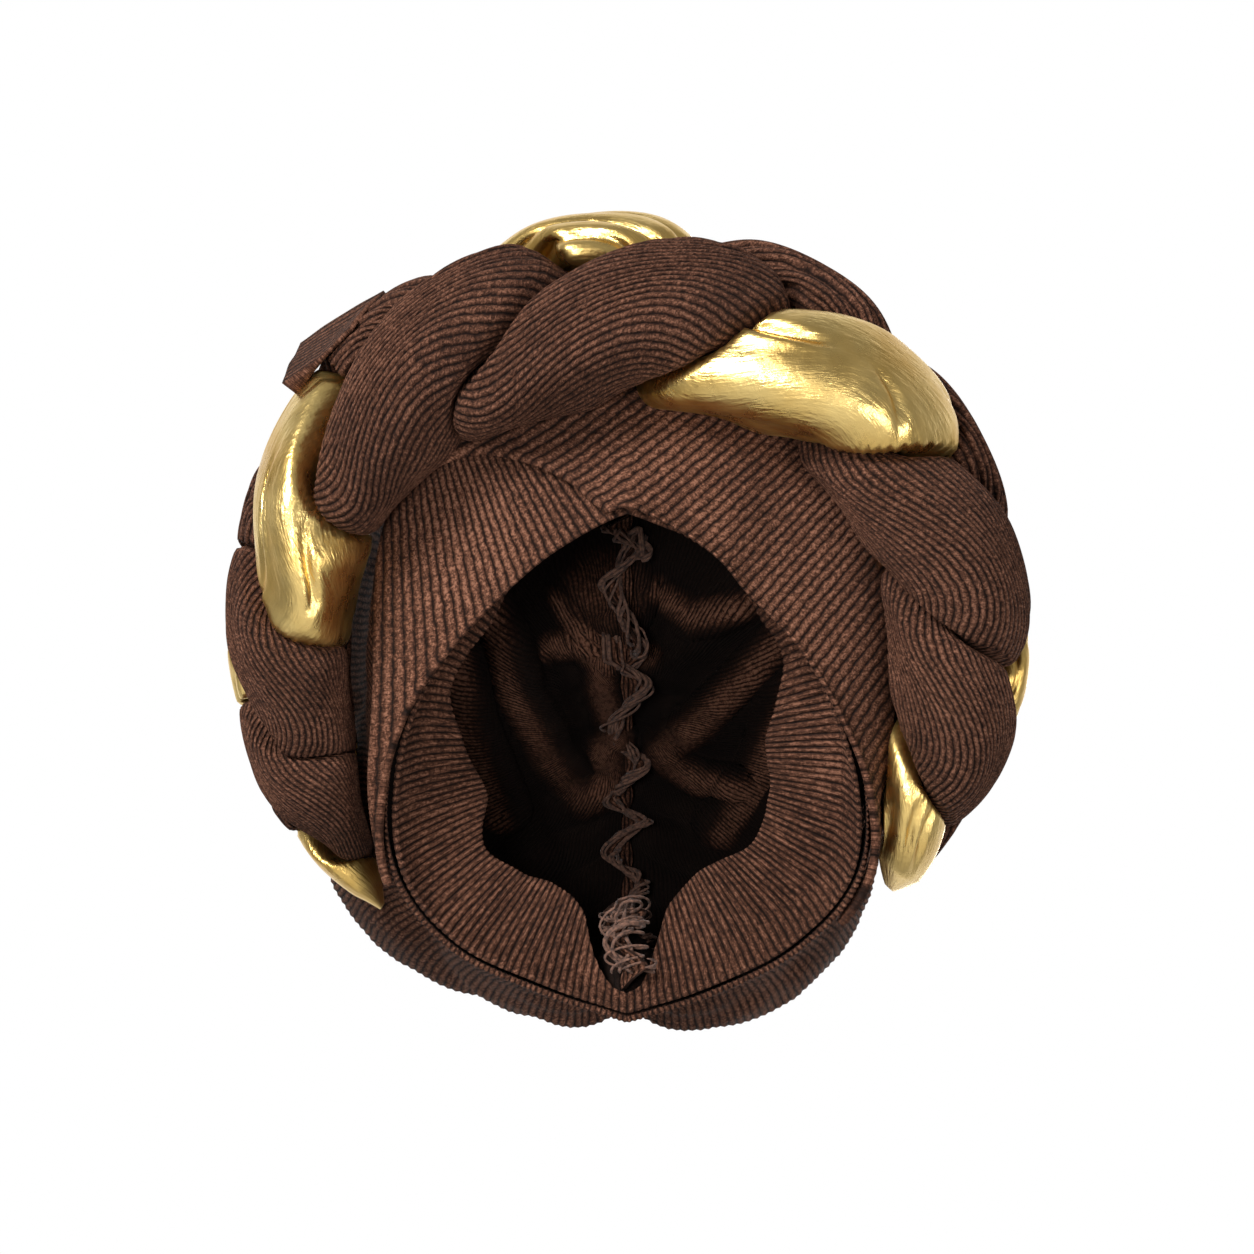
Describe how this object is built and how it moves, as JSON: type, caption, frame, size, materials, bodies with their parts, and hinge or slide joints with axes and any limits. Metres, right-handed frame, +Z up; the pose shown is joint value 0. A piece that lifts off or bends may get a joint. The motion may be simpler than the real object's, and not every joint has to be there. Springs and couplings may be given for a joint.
{
  "type": "pre-tied braided head wrap",
  "caption": "Pre-tied stretch head wrap in dark brown ribbed knit, with a crossed front band and a padded braid of brown and metallic gold strands, hollow and open at the hem.",
  "frame": {"origin": "middle of the head opening at the hem", "axes": "+Z up through the crown, -Y towards the face side, +X to the right as seen from the front"},
  "size_m": [0.2848, 0.2983, 0.1999],
  "materials": {
    "brown_knit": "matte ribbed stretch knit",
    "gold_foil": "crinkled metallic foil cloth"
  },
  "bodies": {
    "root": {"cap": "brown_knit", "band_under": "brown_knit", "band_over": "brown_knit", "strand_gold": "gold_foil", "strand_brown_a": "brown_knit", "strand_brown_b": "brown_knit", "folded_tab": "brown_knit", "centre_seam": "brown_knit", "inner_cuff": "brown_knit"}
  },
  "joints": []
}
